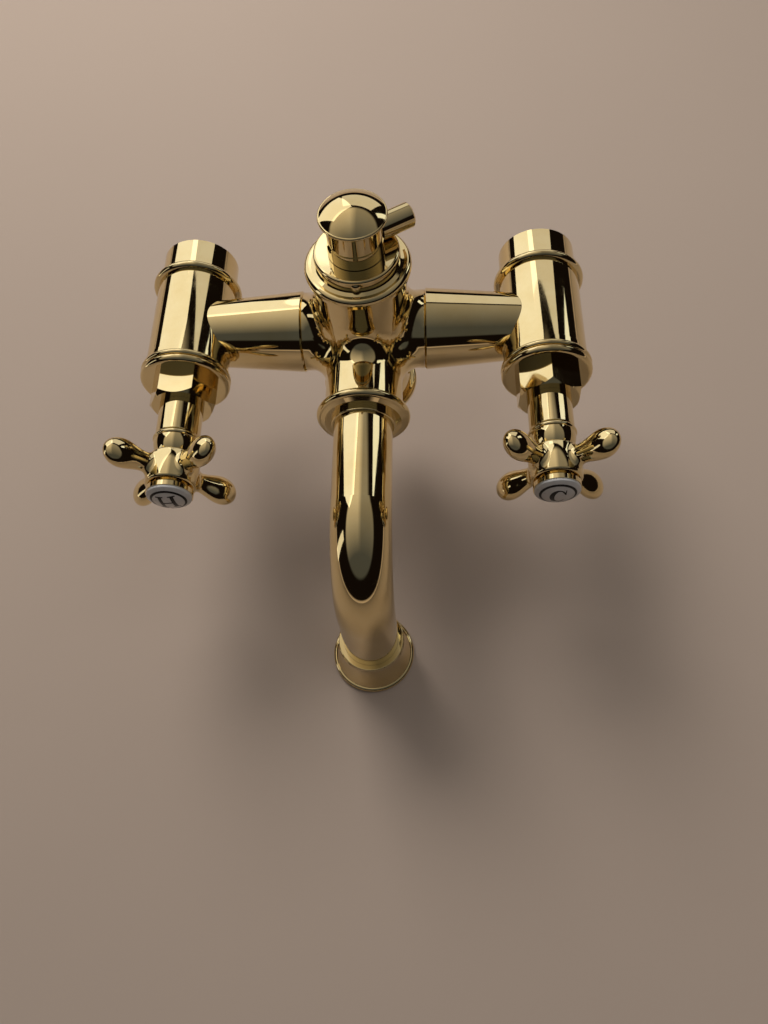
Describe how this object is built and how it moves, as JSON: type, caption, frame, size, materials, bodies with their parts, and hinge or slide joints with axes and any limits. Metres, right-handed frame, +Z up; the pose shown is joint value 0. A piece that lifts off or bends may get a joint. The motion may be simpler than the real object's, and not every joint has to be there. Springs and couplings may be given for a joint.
{
  "type": "bath mixer",
  "caption": "Wall-mounted bath mixer with cross handles, a curved spout with a flared outlet and a knob diverter for a shower, in polished gold finish.",
  "frame": {"origin": "midpoint between the end faces of the two inlet union nuts, on the wall plane", "axes": "+X to the bather's right, from the hot side to the cold side, +Y into the wall, +Z up"},
  "size_m": [0.193, 0.1733, 0.1572],
  "materials": {
    "gold": "polished",
    "raw_brass": "machined",
    "steel": "satin",
    "porcelain": "glazed",
    "ceramic": "lapped",
    "rubber": "matte",
    "plastic": "moulded"
  },
  "bodies": {
    "valve": {"hot_inlet_nut": "gold", "hot_inlet_washer": "rubber", "hot_inlet_strainer": "steel", "hot_side_body": "gold", "hot_headwork": "gold", "hot_seat_seal": "rubber", "hot_fixed_disc": "ceramic", "hot_shroud": "gold", "hot_arm": "gold", "cold_inlet_nut": "gold", "cold_inlet_washer": "rubber", "cold_inlet_strainer": "steel", "cold_side_body": "gold", "cold_headwork": "gold", "cold_seat_seal": "rubber", "cold_fixed_disc": "ceramic", "cold_shroud": "gold", "cold_arm": "gold", "centre_body": "gold", "shower_outlet": "gold", "diverter_bonnet": "gold", "diverter_plate": "gold", "diverter_plate_screw": "gold", "diverter_sleeve": "raw_brass", "diverter_seal": "rubber", "spout_tube": "gold", "spout_collar": "gold", "spout_seal": "rubber", "outlet_bell": "gold", "aerator_housing": "raw_brass", "aerator_insert": "plastic"},
    "hot_handle": {"hot_handle": "gold", "hot_index_disc": "porcelain", "hot_handle_screw": "steel", "hot_spindle": "raw_brass", "hot_spindle_ring": "rubber", "hot_moving_disc": "ceramic"},
    "cold_handle": {"cold_handle": "gold", "cold_index_disc": "porcelain", "cold_handle_screw": "steel", "cold_spindle": "raw_brass", "cold_spindle_ring": "rubber", "cold_moving_disc": "ceramic"},
    "diverter_knob": {"diverter_stem": "gold", "diverter_cap": "gold", "diverter_lever": "gold", "diverter_grub_screw": "steel", "diverter_rotor": "raw_brass"}
  },
  "joints": [
    {"name": "hot_handle_turn", "type": "hinge", "parent": "valve", "child": "hot_handle", "pos_m": [-0.075, -0.1, 0], "axis": [0, -1, 0], "range_deg": [0, 90]},
    {"name": "cold_handle_turn", "type": "hinge", "parent": "valve", "child": "cold_handle", "pos_m": [0.075, -0.1, 0], "axis": [0, 1, 0], "range_deg": [0, 90]},
    {"name": "diverter_turn", "type": "hinge", "parent": "valve", "child": "diverter_knob", "pos_m": [0, -0.04, 0.05], "axis": [0, 0, 1], "range_deg": [-90, 0]}
  ]
}
